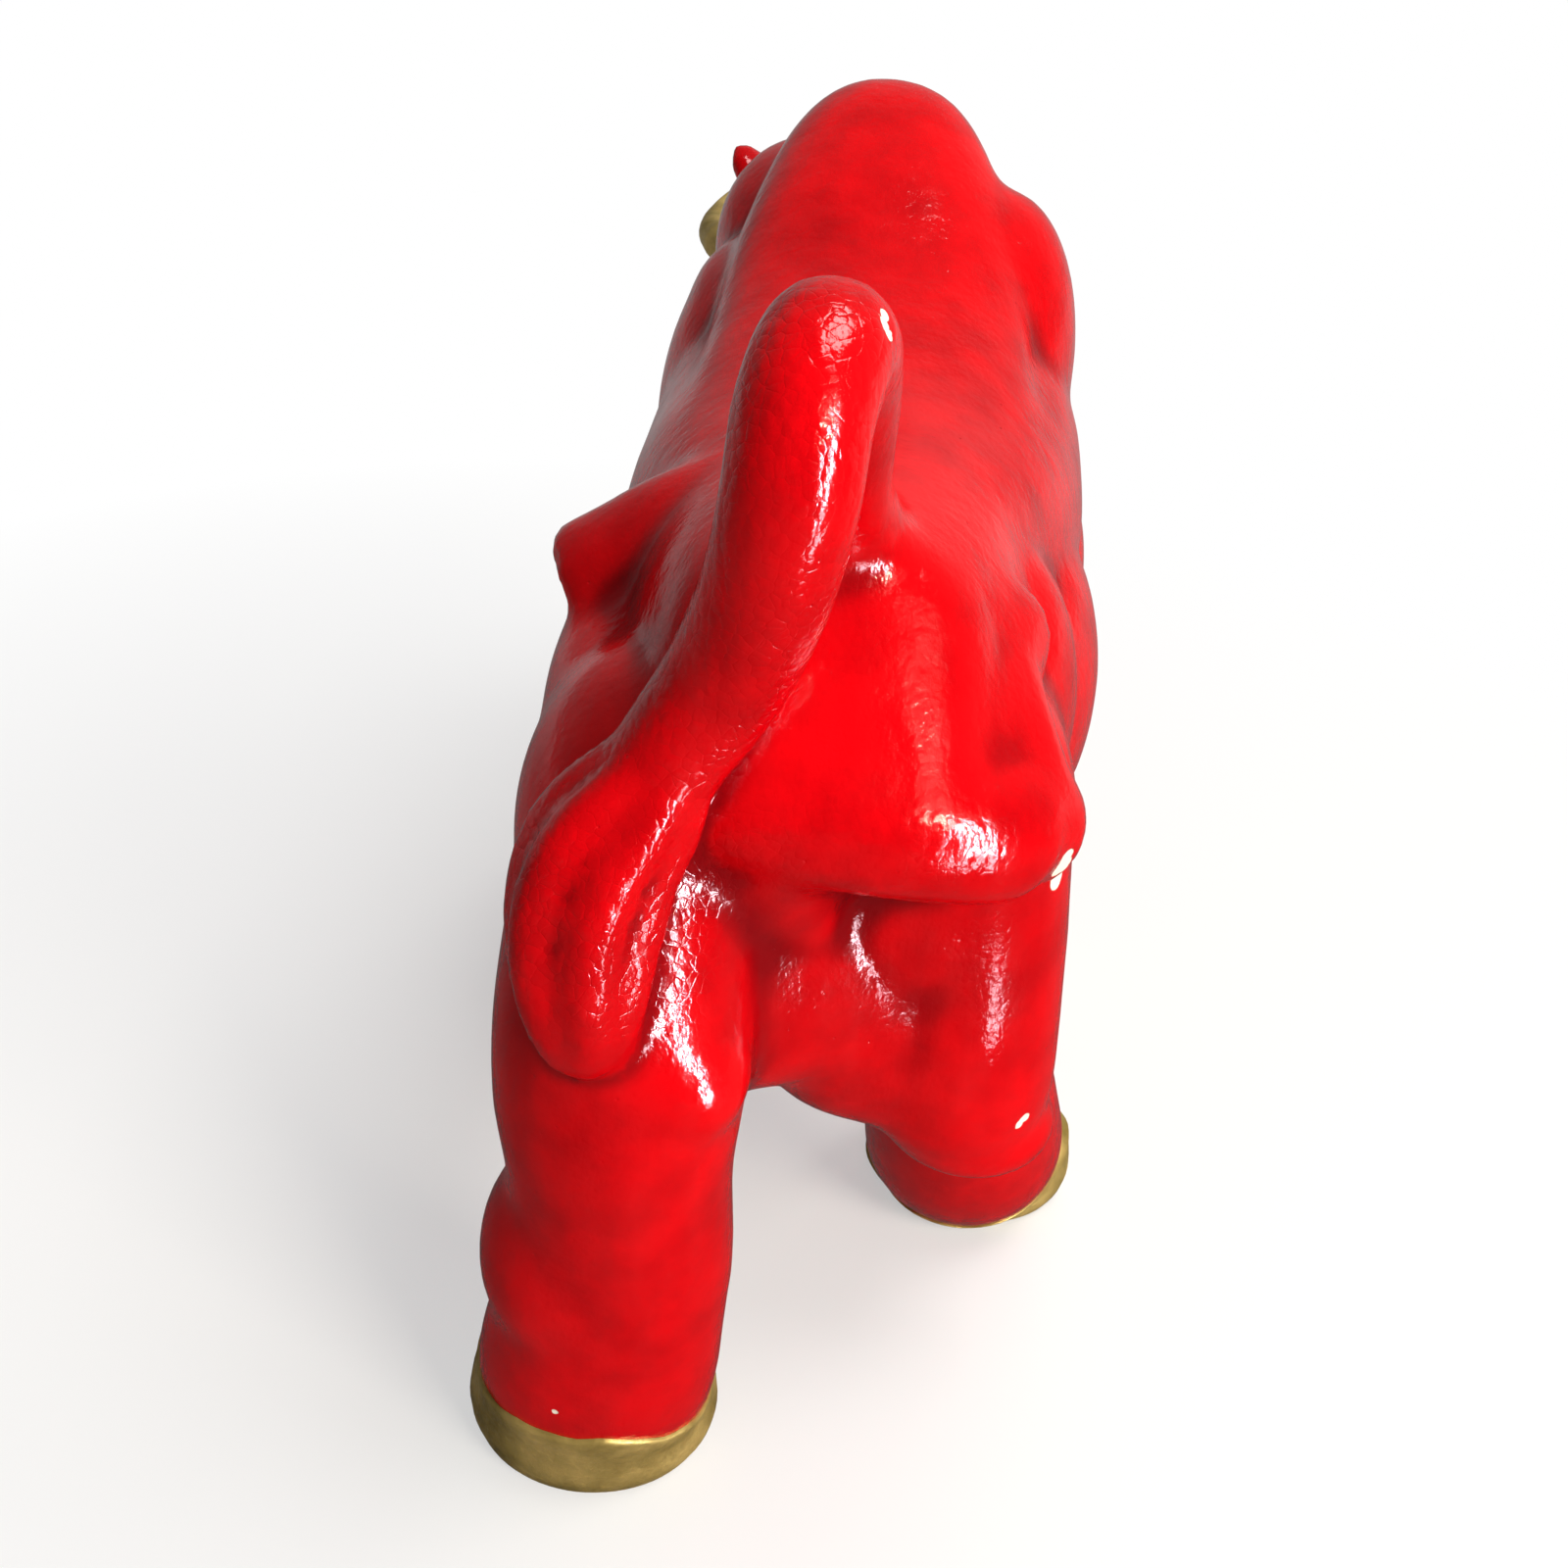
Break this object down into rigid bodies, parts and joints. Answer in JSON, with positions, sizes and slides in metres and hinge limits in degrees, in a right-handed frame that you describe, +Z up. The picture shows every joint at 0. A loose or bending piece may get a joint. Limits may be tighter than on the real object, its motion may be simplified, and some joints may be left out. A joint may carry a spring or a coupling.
{
  "type": "ceramic bull figurine",
  "caption": "Standing bull ornament in glossy painted ceramic, with a lowered head, humped shoulders, an arched tail laid on the haunch and flat metallic hooves to stand on.",
  "frame": {"origin": "on the surface it stands on, under the middle of its bounding box", "axes": "+Y from tail to head, +X to the bull's right, +Z up"},
  "size_m": [0.108, 0.248, 0.1712],
  "materials": {
    "red_gloss": "gloss",
    "gold_satin": "satin"
  },
  "bodies": {
    "root": {"torso": "red_gloss", "head": "red_gloss", "ear_left": "red_gloss", "ear_right": "red_gloss", "tail": "red_gloss", "leg_hind_left": "red_gloss", "leg_hind_right": "red_gloss", "leg_front_left": "red_gloss", "leg_front_right": "red_gloss", "horn_left": "gold_satin", "horn_right": "gold_satin", "hoof_hind_left": "gold_satin", "hoof_hind_right": "gold_satin", "hoof_front_left": "gold_satin", "hoof_front_right": "gold_satin"}
  },
  "joints": []
}
